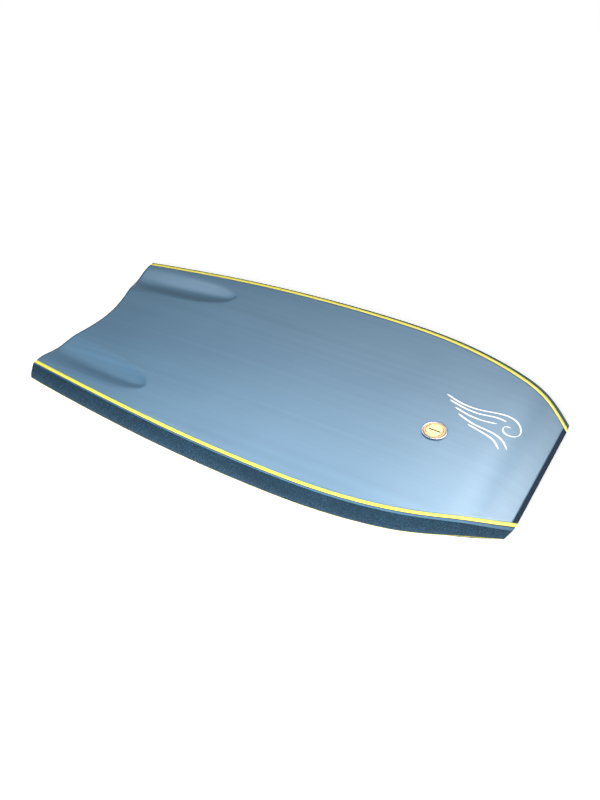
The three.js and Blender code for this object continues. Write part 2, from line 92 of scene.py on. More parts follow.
channel = {
    "tailDepth": 7.5,
    "depth": 9,
    "tailHalfWidth": 55,
    "halfWidth": 48,
    "length": 260,
    "flare": 156,  # length over which it gets deeper and narrower
    "offset": 149,
    "toeOut": 29,
    "creaseSharpness": 0.85,  # how crisp the inner edge gets towards the closed end
    "creaseStart": 0.25,  # where that begins and over how much of the length it grows
    "creaseRun": 0.5,
    "end": 0.9999,  # share of the length at which the closed end stops
}

bulb = {"height": 5, "fromNose": 105, "offset": 105, "length": 60, "width": 45}

rail = {
    "pinline": 8,
    "lip": 2,
    "tailBevel": 1.2,
    "noseBevel": 6.5,
    "bevelDrop": 0.9,
    "apexShare": 0.62,
    "noseApexShare": 0.44,
    "apexOut": 18.5,
    "noseApexOut": 12.5,
    "apexStrip": 2.5,  # thickness of the strip between rail and chine
    "apexStripProud": 1.3,
    "apexStripSkew": 0.7,  # below 1, the strip is fullest near its upper edge
    "apexStripFaces": 6,
    "chineRun": 23,
    "tailChineRun": 11,
    "noseChineRun": 20,
    "endTaper": 215,
    "sideFaces": 14,
    "highlightMargin": 0.1,  # from the bevel's edges, in depth
    "highlightUp": 0.6,  # least upward share of the normal of a face that gets the painted highlight
}

bumper = {"tailLip": 2, "tail": 10, "noseBand": 8.5, "noseUndercut": 22, "noseFaces": 5}

softEdge = {"width": 0.35, "segments": 2, "angle": 38}
smoothing = {"foam": 32, "badge": 20, "ring": 50}  # angles, in degrees, up to which shading is smooth


def mix(a, b, share):
    return a + (b - a) * share


def smoothStep(value):
    value = np.clip(value, 0, 1)
    return value * value * (3 - 2 * value)


def naturalCubic(points):
    at, value = np.array(points, float).T
    gap = np.diff(at)
    slope = np.diff(value) / gap
    side = np.diag(gap[1:-1], 1)
    bend = np.linalg.solve(np.diag(2 * (gap[:-1] + gap[1:])) + side + side.T, 6 * np.diff(slope))
    bend = np.concatenate([[0], bend, [0]])

    def curve(x):
        i = np.clip(np.searchsorted(at, x, side="right") - 1, 0, len(gap) - 1)
        a = (at[i + 1] - x) / gap[i]
        b = (x - at[i]) / gap[i]
        arch = (a**3 - a) * bend[i] + (b**3 - b) * bend[i + 1]
        return a * value[i] + b * value[i + 1] + arch * gap[i] ** 2 / 6

    return curve


length = board["length"]
widthCurve = naturalCubic(board["widths"])
slickCurve = naturalCubic(board["slickHeights"])


def halfWidth(x):
    return widthCurve(x / length) / 2


def slickHeight(x):
    return slickCurve(x / length)


def deckHeight(x):
    tail = np.clip((board["deckTailBend"] - x) / board["deckTailBend"], 0, 1)
    nose = np.clip((x - length + board["deckNoseBend"]) / board["deckNoseBend"], 0, 1)
    return board["deckTailRise"] * tail**2 - board["deckNoseDrop"] * nose**4


def sideAt(x, out):
    # distance from the centreline of the line that runs that far outside the pinlines
    t = x
    for _ in range(settleSteps["side"]):
        slope = (halfWidth(t + 1) - halfWidth(t - 1)) / 2
        root = np.hypot(1, slope)
        t = x + out * slope / root
    return halfWidth(t) + out / root


def innerEdge(x):
    return sideAt(x, -rail["pinline"])


def tailEdge(y):
    outside = np.maximum(np.abs(y) - halfWidth(0), 0)
    share = np.minimum(1, np.abs(y) / board["crescentHalfWidth"])
    crescent = board["crescentDepth"] * (1 + np.cos(np.pi * share)) / 2
    return crescent + board["tailCornerSetback"] * (outside / rail["apexOut"]) ** 2


def noseEdge(x, y, z, inset):
    # the nose end leans back from the slick down to the deck
    undercut = bumper["noseUndercut"]
    reach = sideAt(x, rail["noseApexOut"]) - innerEdge(x)
    outside = np.maximum(np.abs(y) - innerEdge(x), 0) / reach
    lean = (slickHeight(length - inset) - z) / (slickHeight(length) - deckHeight(length - undercut))
    return length - inset - undercut * lean - board["noseCornerSetback"] * outside**2


def channelAt(x, y):
    along = np.clip(x / channel["length"], 0, channel["end"])
    flare = smoothStep(x / channel["flare"])
    taper = np.sqrt(1 - along**4)
    reach = mix(channel["tailHalfWidth"], channel["halfWidth"], flare) * taper
    depth = mix(channel["tailDepth"], channel["depth"], flare) * taper
    aside = (np.abs(y) - channel["offset"] - channel["toeOut"] * along) / reach
    crease = smoothStep((along - channel["creaseStart"]) / channel["creaseRun"])
    crisp = np.where(aside < 0, channel["creaseSharpness"] * crease, 0)
    bowl = np.cos(np.pi / 2 * np.clip(aside, -1, 1))
    return depth * np.abs(bowl) ** (2 - crisp) * (np.abs(aside) < 1)


def bulbAt(x, y):
    along = (x - length + bulb["fromNose"]) / bulb["length"]
    reach = np.hypot(along, (np.abs(y) - bulb["offset"]) / bulb["width"])
    return bulb["height"] * np.cos(np.pi / 2 * np.minimum(reach, 1)) ** 2


def underSlick(depth):
    return lambda x, y: slickHeight(x) - channelAt(x, y) - depth


def overDeck(depth):
    return lambda x, y: deckHeight(x) - bulbAt(x, y) + depth


def across(share):
    return lambda x: share * innerEdge(x)


# The rail section: how far out and how deep its lines run.

def towardsTail(x):
    return 1 - smoothStep(x / rail["endTaper"])


def towardsNose(x):
    return smoothStep((x - length + rail["endTaper"]) / rail["endTaper"])


def thickness(x):
    return slickHeight(x) - deckHeight(x)


def apexDepth(x):
    return mix(rail["apexShare"], rail["noseApexShare"], towardsNose(x)) * thickness(x)


def apexSide(x):
    return mix(rail["apexOut"], rail["noseApexOut"], towardsNose(x))


def shoulder(x):
    return rail["lip"] + mix(rail["tailBevel"], rail["noseBevel"], (x / length) ** 2)


def chineSide(x, rise):
    run = mix(rail["chineRun"], rail["tailChineRun"], towardsTail(x))
    run = mix(run, rail["noseChineRun"], towardsNose(x))
    drop = thickness(x) - rise - apexDepth(x)
    return apexSide(x) - run * drop / (thickness(x) - apexDepth(x))


def railLine(sign, out, depth):
    return (lambda x: sign * sideAt(x, out(x))), (lambda x, y: slickHeight(x) - depth(x))


# Meshes: stations along the board, lines across it, and lofts through both.

def makeStations():
    # dense where the channels close
    first = board["crescentDepth"] + bumper["tail"] + layers["tailMargin"]
    last = length - bumper["noseUndercut"] - bumper["noseBand"] - layers["noseMargin"]
    turn = np.linspace(layers["closingStart"], 0.5, layers["closingRows"]) * np.pi
    closing = channel["length"] * np.sin(turn)
    tail = np.linspace(first, closing[0], layers["tailRows"])
    body = np.linspace(channel["length"], last, layers["bodyRows"])
    return np.concatenate([tail[:-1], closing[:-1], body])


stations = makeStations()


def endOf(rule, start, edge):
    side, height = rule
    x = start
    for _ in range(settleSteps["end"]):
        y = side(x)
        x = edge(x, y, height(x, y))
    return x


def tailEnd(rule, inset):
    return endOf(rule, 0.0, lambda x, y, z: tailEdge(y) + inset)


def noseEnd(rule, inset):
    return endOf(rule, length - inset, lambda x, y, z: noseEdge(x, y, z, inset))


def runOf(rule, tailInset, noseInset):
    # the points of one line from the tail end to the nose end
    side, height = rule
    tail, nose = tailEnd(rule, tailInset), noseEnd(rule, noseInset)
    steps = np.linspace(0, 1, layers["endRows"] + 1)
    x = np.concatenate([
        mix(tail, stations[0], steps[:-1]),
        stations,
        mix(stations[-1], nose, steps[1:]),
    ])
    y = side(x)
    return np.stack([x, y, height(x, y)], 1)


def loft(rings, cap):
    # rings has one row of section points for each step of the loft
    rows, count = rings.shape[:2]
    start = np.arange(rows - 1)[:, None] * count
    here = np.arange(count)
    there = (here + 1) % count
    faces = np.stack([start + here, start + there, start + there + count, start + here + count], -1)
    faces = faces.reshape(-1, 4).tolist()
    faces += cap(0, count) + cap((rows - 1) * count, count)
    return rings.reshape(-1, 3), faces


def lacedCap(first, count):
    # for a thin section: its first half runs across the top, and its other half runs back below
    half = range(count // 2 - 1)
    return [[first + i, first + i + 1, first + count - 2 - i, first + count - 1 - i] for i in half]


def flatCap(first, count):
    return [list(range(first, first + count))]


def sheetLines(upper, lower):
    shares = np.linspace(-1, 1, layers["columns"] + 1)
    top = [(across(share), upper) for share in shares]
    return top + [(across(share), lower) for share in shares[::-1]]


def placeBoard():
    # the trim ring is the landmark, because its middle is known in both frames
    turn = Matrix.Rotation(math.radians(board["pitch"]), 4, "Y")
    low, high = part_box("plug_trim_ring")
    ringMiddle = plugPlace @ Vector((0, 0, plug["faceHeight"] - plug["inlay"] / 2))
    return Matrix.Translation((low + high) / 2 - turn @ (ringMiddle * mm)) @ turn @ Matrix.Scale(mm, 4)


def makeMesh(name, points, faces, place, material, smoothAngle=smoothing["foam"], soften=True):
    mesh = bpy.data.meshes.new(name)
    mesh.from_pydata([tuple(point) for point in points], [], faces)
    mesh.transform(place)
    work = bmesh.new()
    work.from_mesh(mesh)
    bmesh.ops.remove_doubles(work, verts=work.verts, dist=mergeGap * mm)
    bmesh.ops.recalc_face_normals(work, faces=work.faces)
    if soften:
        limit = math.radians(softEdge["angle"])
        sharp = [edge for edge in work.edges if edge.calc_face_angle(0) > limit]
        bmesh.ops.bevel(
            work, geom=sharp, offset=softEdge["width"] * mm, segments=softEdge["segments"],
            profile=0.5, affect="EDGES", clamp_overlap=True,
        )
    work.to_mesh(mesh)
    work.free()
    finishMesh(mesh, material, smoothAngle)
    return mesh


def finishMesh(mesh, material, smoothAngle=smoothing["foam"]):
    mesh.materials.clear()
    mesh.materials.append(material)
    mesh.shade_smooth()
    mesh.set_sharp_from_angle(angle=math.radians(smoothAngle))


def keepMesh(work):
    return bpy.data.meshes.new_from_object(work.evaluated_get(bpy.context.evaluated_depsgraph_get()))


def cutMesh(mesh, *tools):
    # cuts solids out of a mesh with live booleans, then keeps the result as a plain mesh
    work = bpy.data.objects.new("cutting", mesh)
    scene.collection.objects.link(work)
    cutters = []
    for tool in tools:
        cutter = bpy.data.objects.new("cutter", tool)
        scene.collection.objects.link(cutter)
        modifier = work.modifiers.new("cut", "BOOLEAN")
        modifier.operation = "DIFFERENCE"
        modifier.solver = "EXACT"
        modifier.object = cutter
        cutters.append(cutter)
    result = keepMesh(work)
    for scrap in [work, *cutters]:
        bpy.data.objects.remove(scrap)
    return result


def addPiece(name, mesh, slot, *nodes):
    piece = bpy.data.objects.new(name, mesh)
    mesh.name = name
    scene.collection.objects.link(piece)
    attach(piece, "root")
    if nodes:
        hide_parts(*nodes)


# Colours and finishes.

noiseRange = (0.3, 0.7)  # where nearly all the values of a noise texture lie
specular, coat, coatRoughness = "Specular IOR Level", "Coat Weight", "Coat Roughness"  # sockets


def tone(red, green, blue):
    # a colour as a screen shows it, made linear by the usual screen curve
    parts = [part / 255 for part in (red, green, blue)]
    return (*[part / 12.92 if part <= 0.04045 else ((part + 0.055) / 1.055) ** 2.4 for part in parts], 1)


def addNode(tree, kind, inputs=None, **settings):
    made = tree.nodes.new(kind)
    for key, value in settings.items():
        setattr(made, key, value)
    for key, value in (inputs or {}).items():
        if isinstance(value, bpy.types.NodeSocket):
            tree.links.new(value, made.inputs[key])
        else:
            made.inputs[key].default_value = value
    return made


def startFinish(name, **constants):
    material = bpy.data.materials.new(name)
    material.use_nodes = True
    tree = material.node_tree
    shader = tree.nodes["Principled BSDF"]
    for key, value in constants.items():
        shader.inputs[key].default_value = value
    return material, tree, shader


def placeOf(tree, scale=(1, 1, 1), centre=(0, 0, 0)):
    spot = addNode(tree, "ShaderNodeTexCoord").outputs["Object"]
    moved = addNode(tree, "ShaderNodeVectorMath", {0: spot, 1: centre}, operation="SUBTRACT").outputs[0]
    return addNode(tree, "ShaderNodeVectorMath", {0: moved, 1: scale}, operation="MULTIPLY").outputs[0]


def noise(tree, place, scale, detail=2, rough=0.5):
    inputs = {"Vector": place, "Scale": scale, "Detail": detail, "Roughness": rough}
    return addNode(tree, "ShaderNodeTexNoise", inputs).outputs["Fac"]


def cells(tree, place, scale, feature="F1"):
    inputs = {"Vector": place, "Scale": scale}
    return addNode(tree, "ShaderNodeTexVoronoi", inputs, feature=feature).outputs["Distance"]


def calculate(tree, operation, a, b=0.0):
    return addNode(tree, "ShaderNodeMath", {0: a, 1: b}, operation=operation).outputs[0]


def spread(tree, value, low, high, toLow=0.0, toHigh=1.0):
    inputs = {"Value": value, "From Min": low, "From Max": high, "To Min": toLow, "To Max": toHigh}
    return addNode(tree, "ShaderNodeMapRange", inputs).outputs["Result"]


def blendColours(tree, share, first, second):
    made = addNode(tree, "ShaderNodeMix", data_type="RGBA")
    for index, value in ((0, share), (6, first), (7, second)):
        if isinstance(value, bpy.types.NodeSocket):
            tree.links.new(value, made.inputs[index])
        else:
            made.inputs[index].default_value = value
    return made.outputs[2]


def paint(tree, shader, colour, roughness):
    tree.links.new(colour, shader.inputs["Base Color"])
    tree.links.new(roughness, shader.inputs["Roughness"])


def wear(tree, value, roughness, reach):
    # roughness that follows a noise texture, by that reach to either side
    return spread(tree, value, *noiseRange, roughness - reach, roughness + reach)


def roughen(tree, shader, height, strength, distance):
    inputs = {"Height": height, "Strength": strength, "Distance": distance * mm}
    tree.links.new(addNode(tree, "ShaderNodeBump", inputs).outputs[0], shader.inputs["Normal"])


filmLook = {
    "deep": (66, 105, 132),
    "main": (74, 114, 142),
    "pale": (92, 132, 159),
    "fineStreaks": 420,  # across the board, in each metre
    "broadStreaks": 60,
    "streakLength": 1.1,
    "streakShare": 0.3,  # most of the pale colour in a streak, and in a cloud
    "cloudShare": 0.35,
    "clouds": 3.5,
    "roughness": (0.32, 0.44),
    "sockets": {"Metallic": 0.1, "IOR": 1.65, coat: 0.6, coatRoughness: 0.3},
}


def makeFilm():
    look = filmLook
    material, tree, shader = startFinish("brushed_slick_film", **look["sockets"])
    finePlace = placeOf(tree, (look["streakLength"], look["fineStreaks"], 1))
    broadPlace = placeOf(tree, (look["streakLength"], look["broadStreaks"], 1))
    fine = noise(tree, finePlace, 1, detail=3, rough=0.6)
    broad = noise(tree, broadPlace, 1)
    cloud = noise(tree, placeOf(tree), look["clouds"])
    base = blendColours(tree, spread(tree, broad, *noiseRange), tone(*look["deep"]), tone(*look["main"]))
    paler = spread(tree, cloud, 0.35, 0.75, 0, look["cloudShare"])
    base = blendColours(tree, paler, base, tone(*look["pale"]))
    paler = spread(tree, fine, 0.35, 0.72, 0, look["streakShare"])
    base = blendColours(tree, paler, base, tone(*look["pale"]))
    paint(tree, shader, base, spread(tree, fine, *noiseRange, *look["roughness"]))
    roughen(tree, shader, fine, strength=0.12, distance=0.05)
    return material


foamLook = {
    "flecks": 0.42,  # flecks to a cell's width
    "fleckRange": (0.42, 0.68),
    "drift": 9,
    "driftShare": 0.25,
    "paintedShadeHeights": (0.022, 0.052),  # over which the painted top shade comes in, in metres above the ground
    "wear": 0.1,
    "bumpDepth": 0.35,  # in cell widths
}


def makeFoam(name, dark, light, cellSize, bumpStrength, roughness=0.75, speckle=0.5, paintedTopShade=0.0):
    # closed-cell foam: fine cells, with paler flecks where they are cut, and painted shade that darkens it
    # towards its top
    look = foamLook
    material, tree, shader = startFinish(name, **{specular: 0.2})
    place = placeOf(tree)
    pores = cells(tree, place, 1 / (cellSize * mm))
    flecks = noise(tree, place, look["flecks"] / (cellSize * mm), detail=3, rough=0.7)
    drift = noise(tree, place, look["drift"])
    share = calculate(tree, "MULTIPLY", spread(tree, flecks, *look["fleckRange"]), speckle * 2)
    base = blendColours(tree, share, tone(*dark), tone(*light))
    height = addNode(tree, "ShaderNodeSeparateXYZ", {0: place}).outputs["Z"]
    # painted shade: the foam gets darker towards its top, added to the random drift in tone
    above = spread(tree, height, *look["paintedShadeHeights"], 0, paintedTopShade)
    driftAndPaintedShade = calculate(tree, "ADD", spread(tree, drift, *noiseRange, 0, look["driftShare"]), above)
    base = blendColours(tree, driftAndPaintedShade, base, tone(*dark))
    paint(tree, shader, base, wear(tree, flecks, roughness, look["wear"]))
    roughen(tree, shader, pores, bumpStrength, cellSize * look["bumpDepth"])
    return material


# grain to a metre along each axis, its detail, range of the blend, wear, then the bumps' strength and
# depth, and what else the shader takes
grains = {
    "pinline": ((4, 260, 40), 2, (0.35, 0.75, 0, 0.6), 0.08, (0.1, 0.05), {specular: 0.5, coat: 0.15}),
    "plastic": ((900, 900, 900), 3, noiseRange, 0.07, (0.15, 0.06), {specular: 0.5}),
    "steel": ((2500, 40, 2500), 3, noiseRange, 0.08, (0.1, 0.03), {"Metallic": 1.0}),
    "paint": ((300, 900, 1), 2, noiseRange, 0.075, None, {specular: 0.5}),
}


def makeGrained(kind, name, main, second, roughness):
    # two colours, blended by a grain that also wears and roughens the surface
    scale, detail, blend, reach, bump, sockets = grains[kind]
    material, tree, shader = startFinish(name, **sockets)
    grain = noise(tree, placeOf(tree, scale), 1, detail)
    base = blendColours(tree, spread(tree, grain, *blend), tone(*main), tone(*second))
    paint(tree, shader, base, wear(tree, grain, roughness, reach))
    if bump:
        roughen(tree, shader, grain, *bump)
    return material


def makeTurnedMetal(name, inner, outer, roughness, radius, rings):
    # lathe rings round the middle of the leash plug, and painted shading: a colour that shifts towards the
    # rim
    centre = tuple(plugOnBoard.translation)
    material, tree, shader = startFinish(name, Metallic=1.0)
    place = placeOf(tree, (1, 1, 0), centre)
    reach = addNode(tree, "ShaderNodeVectorMath", {0: place}, operation="LENGTH").outputs["Value"]
    reach = calculate(tree, "DIVIDE", reach, radius * mm)
    around = noise(tree, placeOf(tree, centre=centre), 700)
    wobble = calculate(tree, "ADD", calculate(tree, "MULTIPLY", reach, rings), around)
    groove = calculate(tree, "SINE", calculate(tree, "MULTIPLY", wobble, 2 * math.pi))
    # painted shading: the colour shifts from the inner colour to the outer one towards the rim
    share = spread(tree, calculate(tree, "POWER", reach, 2.0), 0.35, 1)
    finish = spread(tree, groove, -1, 1, roughness - 0.06, roughness + 0.06)
    paint(tree, shader, blendColours(tree, share, tone(*inner), tone(*outer)), finish)
    roughen(tree, shader, groove, strength=0.06, distance=0.03)
    return material


def makeBeadFoam(name, seam, bead, roughness):
    # beads of expanded foam, fused face to face
    material, tree, shader = startFinish(name, **{specular: 0.4})
    place = placeOf(tree)
    share = spread(tree, cells(tree, place, 260, "DISTANCE_TO_EDGE"), 0.0, 0.12)
    base = blendColours(tree, share, tone(*seam), tone(*bead))
    paint(tree, shader, base, wear(tree, noise(tree, place, 60), roughness, 0.1))
    roughen(tree, shader, share, strength=0.5, distance=0.4)
    return material


def makeCarbon(name, gap, tow):
    # a twill of dark tows round the tube, from two slanting waves
    material, tree, shader = startFinish(name, **{coat: 0.6, coatRoughness: 0.12})
    waves = []
    for hand in (1, -1):
        inputs = {"Vector": placeOf(tree, (hand, 1, 1)), "Scale": 55.0, "Distortion": 0.4, "Detail": 1.0}
        waves.append(addNode(tree, "ShaderNodeTexWave", inputs, bands_direction="DIAGONAL").outputs["Fac"])
    tows = calculate(tree, "MULTIPLY", *waves)
    base = blendColours(tree, spread(tree, tows, 0.1, 0.7), tone(*gap), tone(*tow))
    paint(tree, shader, base, spread(tree, tows, 0, 1, 0.45, 0.28))
    roughen(tree, shader, tows, strength=0.3, distance=0.1)
    return material


def makeFloorFinish(name, dark, light, glow):
    glowing = {"Emission Color": (1, 1, 1, 1), "Emission Strength": glow}
    material, tree, shader = startFinish(name, Roughness=0.9, **{specular: 0.1}, **glowing)
    grain = noise(tree, placeOf(tree), 14, detail=3)
    base = blendColours(tree, spread(tree, grain, *noiseRange), tone(*dark), tone(*light))
    tree.links.new(base, shader.inputs["Base Color"])
    return material


# The leash plug, drawn about z with the slick at z = 0.

plug = {
    "fromNose": 221,
    "offset": 20,
    "seat": 30,
    "flangeRadius": 26,
    "flange": 1.6,
    "inlay": 0.8,
    "ringWidth": 3.8,
    "badgeRecess": 0.15,
    "badgeEdge": 0.1,  # chamfer round the badge, then the flat rim, then the slope to the recess
    "badgeRim": 0.8,
    "badgeSlope": 0.3,
    "ringShoulder": 0.35,  # from the face down to where the ring's crown starts
    "ringCrown": 0.45,
    "ringFaces": 12,
    "sleeveRadius": 9,
    "sleeveBore": 6,
    "sleeveRoof": 5,
    "sleeveSlack": 5,
    "threadClearance": 0.3,
    "deckFlangeRadius": 22,
    "cupRadius": 14,
    "cupWall": 2.5,
    "cupDepth": 15,
    "cupFloor": 3,
    "sealWidth": 3.5,
    "sealHeight": 3,
    "slotLength": 26,
    "slotWidth": 3.2,
    "slotDepth": 0.7,  # below the badge
    "barRadius": 2.2,
    "barInset": 2.4,
    "barSeat": 1.5,
    "sides": 96,
}
plug["faceHeight"] = 2 * glueGap + plug["flange"] + plug["inlay"]

plugX = length - plug["fromNose"]
seatEnds = np.array([plugX - plug["seat"], plugX + plug["seat"]])
plugTop = slickHeight(seatEnds).mean()
plugSpan = plugTop - deckHeight(seatEnds).mean()
plugLean = math.atan(-np.diff(slickHeight(seatEnds))[0] / np.diff(seatEnds)[0])
plugPlace = Matrix.Translation((plugX, -plug["offset"], plugTop)) @ Matrix.Rotation(plugLean, 4, "Y")
boardPlace = placeBoard()
plugOnBoard = boardPlace @ plugPlace

# radii, and heights from the slick, in the plug
inlayBottom = plug["faceHeight"] - plug["inlay"]
recessHeight = plug["faceHeight"] - plug["badgeRecess"]
badgeRadius = plug["flangeRadius"] - plug["ringWidth"] - glueGap
deckFlangeTop = -plugSpan - glueGap
cupMouth = deckFlangeTop - plug["flange"]
cupBore = plug["cupRadius"] - plug["cupWall"]
cupRoof = cupMouth + plug["cupDepth"]
cupTop = cupRoof + plug["cupFloor"]


def turned(profile, closed=False):
    # a profile of [radius, height] points, from axis to axis or closed on itself
    radius, height = np.array(profile, float).T
    angle = np.linspace(0, 2 * np.pi, plug["sides"], endpoint=False)
    tall = np.tile(height, (len(angle), 1))
    rings = [np.outer(np.cos(angle), radius), np.outer(np.sin(angle), radius), tall]
    count = len(profile)
    faces = []
    for turn in range(len(angle)):
        here, there = turn * count, (turn + 1) % len(angle) * count
        for i in range(count if closed else count - 1):
            j = (i + 1) % count
            faces.append([here + i, here + j, there + j, there + i])
    return np.stack(rings, -1).reshape(-1, 3), faces


def boxSolid(size, middle):
    corners = [(x, y, z) for x in (-0.5, 0.5) for y in (-0.5, 0.5) for z in (-0.5, 0.5)]
    points = np.array(corners) * size + middle
    return points, [[0, 1, 3, 2], [4, 6, 7, 5], [0, 4, 5, 1], [2, 3, 7, 6], [0, 2, 6, 4], [1, 5, 7, 3]]


def slotTool():
    depth = plug["inlay"] + glueGap + plug["slotDepth"]
    solid = boxSolid((plug["slotLength"], plug["slotWidth"], 2 * depth), (0, 0, plug["faceHeight"]))
    return makeMesh("slot", *solid, plugOnBoard, plugBlack, soften=False)


def holeTool():
    # wide for the cup, narrow for the sleeve, and widened for the seal at each face
    cup = plug["cupRadius"] + glueGap
    sleeve = plug["sleeveRadius"] + glueGap
    slickSeal = sleeve + plug["sealWidth"]
    deckSeal = cup + plug["sealWidth"]
    slickSealBottom = -plug["sealHeight"] - glueGap
    deckSealTop = -plugSpan + plug["sealHeight"] + glueGap
    profile = [
        [0, -plugSpan - overshoot], [deckSeal, -plugSpan - overshoot], [deckSeal, deckSealTop],
        [cup, deckSealTop], [cup, cupTop + glueGap], [sleeve, cupTop + glueGap],
        [sleeve, slickSealBottom], [slickSeal, slickSealBottom], [slickSeal, overshoot], [0, overshoot],
    ]
    return makeMesh("hole", *turned(profile), plugOnBoard, plugBlack, soften=False)


def barSolid(radius, seat):
    half = cupBore + seat
    points, faces = turned([[0, -half], [radius, -half], [radius, half], [0, half]])
    points = points[:, [0, 2, 1]] + [0, 0, cupMouth + plug["barInset"] + plug["barRadius"]]
    return points, faces


def makePlugPieces():
    flangeTop = glueGap + plug["flange"]
    sleeveEnd = cupTop + plug["sleeveSlack"]
    slickHalf = turned([
        [0, flangeTop], [plug["flangeRadius"], flangeTop], [plug["flangeRadius"], glueGap],
        [plug["sleeveRadius"], glueGap], [plug["sleeveRadius"], sleeveEnd], [plug["sleeveBore"], sleeveEnd],
        [plug["sleeveBore"], -plug["sleeveRoof"]], [0, -plug["sleeveRoof"]],
    ])
    mesh = cutMesh(makeMesh("half", *slickHalf, plugOnBoard, plugBlack), slotTool())
    finishMesh(mesh, plugBlack)
    addPiece("plug_slick_body", mesh, "plug_plastic", "plug_slick_half")

    face = plug["faceHeight"]
    rimOuter = badgeRadius - plug["badgeEdge"]
    rimInner = rimOuter - plug["badgeRim"]
    disc = turned([
        [0, inlayBottom], [badgeRadius, inlayBottom], [badgeRadius, face - plug["badgeEdge"]],
        [rimOuter, face], [rimInner, face],
        [rimInner - plug["badgeSlope"], recessHeight], [0, recessHeight],
    ])
    mesh = cutMesh(makeMesh("disc", *disc, plugOnBoard, badgeGold, soften=False), slotTool())
    finishMesh(mesh, badgeGold, smoothing["badge"])
    addPiece("plug_gold_badge", mesh, "badge", "plug_badge")

    inner = plug["flangeRadius"] - plug["ringWidth"]
    half = plug["ringWidth"] / 2
    crownBase = face - plug["ringShoulder"]
    crown = [
        [inner + half * (1 + math.cos(turn)), crownBase + plug["ringCrown"] * math.sin(turn)]
        for turn in np.linspace(0, math.pi, plug["ringFaces"] + 1)
    ]
    rim = turned([[inner, inlayBottom], [plug["flangeRadius"], inlayBottom], *crown], closed=True)
    mesh = makeMesh("rim", *rim, plugOnBoard, ringChrome, smoothing["ring"], soften=False)
    addPiece("plug_bright_ring", mesh, "trim_ring", "plug_trim_ring")

    postRadius = plug["sleeveBore"] - plug["threadClearance"]
    postTop = -plug["sleeveRoof"] - 2 * plug["threadClearance"]
    deckHalf = turned([
        [0, cupRoof], [cupBore, cupRoof], [cupBore, cupMouth], [plug["deckFlangeRadius"], cupMouth],
        [plug["deckFlangeRadius"], deckFlangeTop], [plug["cupRadius"], deckFlangeTop],
        [plug["cupRadius"], cupTop], [postRadius, cupTop], [postRadius, postTop], [0, postTop],
    ])
    seat = barSolid(plug["barRadius"] + glueGap, plug["barSeat"] + glueGap)
    seatTool = makeMesh("seat", *seat, plugOnBoard, plugBlack, soften=False)
    mesh = cutMesh(makeMesh("half", *deckHalf, plugOnBoard, plugBlack), seatTool)
    finishMesh(mesh, plugBlack)
    addPiece("plug_deck_body", mesh, "plug_plastic", "plug_deck_half")

    bar = barSolid(plug["barRadius"], plug["barSeat"])
    addPiece("plug_bar", makeMesh("bar", *bar, plugOnBoard, barSteel), "cord_bar", "plug_cord_bar")


# Geometry Nodes trees.

def startTree(name, **sockets):
    tree = bpy.data.node_groups.new(name, "GeometryNodeTree")
    tree.interface.new_socket("Geometry", in_out="INPUT", socket_type="NodeSocketGeometry")
    for label, kind in sockets.items():
        tree.interface.new_socket(label, in_out="INPUT", socket_type="NodeSocket" + kind)
    tree.interface.new_socket("Geometry", in_out="OUTPUT", socket_type="NodeSocketGeometry")
    return tree, tree.nodes.new("NodeGroupInput").outputs, tree.nodes.new("NodeGroupOutput").inputs


def endTree(tree, geometry, material, output):
    real = addNode(tree, "GeometryNodeRealizeInstances", {0: geometry}).outputs[0]
    painted = addNode(tree, "GeometryNodeSetMaterial", {"Geometry": real, "Material": material})
    tree.links.new(painted.outputs[0], output[0])


def makeNetTree():
    # strands: a tube along every line of the mesh that it is given
    tree, given, output = startTree("strandNet", strandRadius="Float", strandSides="Int", finish="Material")
    lines = addNode(tree, "GeometryNodeMeshToCurve", {"Mesh": given["Geometry"]}).outputs[0]
    inputs = {"Radius": given["strandRadius"], "Resolution": given["strandSides"]}
    profile = addNode(tree, "GeometryNodeCurvePrimitiveCircle", inputs).outputs[0]
    inputs = {"Curve": lines, "Profile Curve": profile, "Fill Caps": True}
    strands = addNode(tree, "GeometryNodeCurveToMesh", inputs).outputs[0]
    endTree(tree, strands, given["finish"], output)
    return tree


def makeDialTree():
    # two facing arcs of small studs round the middle of a disc
    tree, given, output = startTree(
        "dialStuds", arcRadius="Float", arcStart="Float", arcSweep="Float", studCount="Int",
        studSides="Int", studRadius="Float", studHeight="Float", finish="Material",
    )
    start, sweep = given["arcStart"], given["arcSweep"]
    inputs = {"Radius": given["arcRadius"], "Start Angle": start, "Sweep Angle": sweep}
    arc = addNode(tree, "GeometryNodeCurveArc", inputs).outputs[0]
    inputs = {"Curve": arc, "Count": given["studCount"]}
    spots = addNode(tree, "GeometryNodeCurveToPoints", inputs).outputs[0]
    inputs = {"Vertices": given["studSides"], "Radius": given["studRadius"], "Depth": given["studHeight"]}
    stud = addNode(tree, "GeometryNodeMeshCylinder", inputs).outputs[0]
    inputs = {"Points": spots, "Instance": stud}
    studs = addNode(tree, "GeometryNodeInstanceOnPoints", inputs).outputs[0]
    inputs = {"Geometry": studs, "Rotation": (0, 0, math.pi)}
    facing = addNode(tree, "GeometryNodeTransform", inputs).outputs[0]
    both = addNode(tree, "GeometryNodeJoinGeometry")
    tree.links.new(studs, both.inputs[0])
    tree.links.new(facing, both.inputs[0])
    endTree(tree, both.outputs[0], given["finish"], output)
    return tree


def grow(tree, values, mesh=None):
    # runs a tree on a mesh and returns the result as a plain mesh
    host = bpy.data.objects.new("growing", mesh or bpy.data.meshes.new("growing"))
    scene.collection.objects.link(host)
    modifier = host.modifiers.new("grow", "NODES")
    modifier.node_group = tree
    for socket in tree.interface.items_tree:
        if socket.name in values:
            modifier[socket.identifier] = values[socket.name]
    result = keepMesh(host)
    bpy.data.objects.remove(host)
    return result


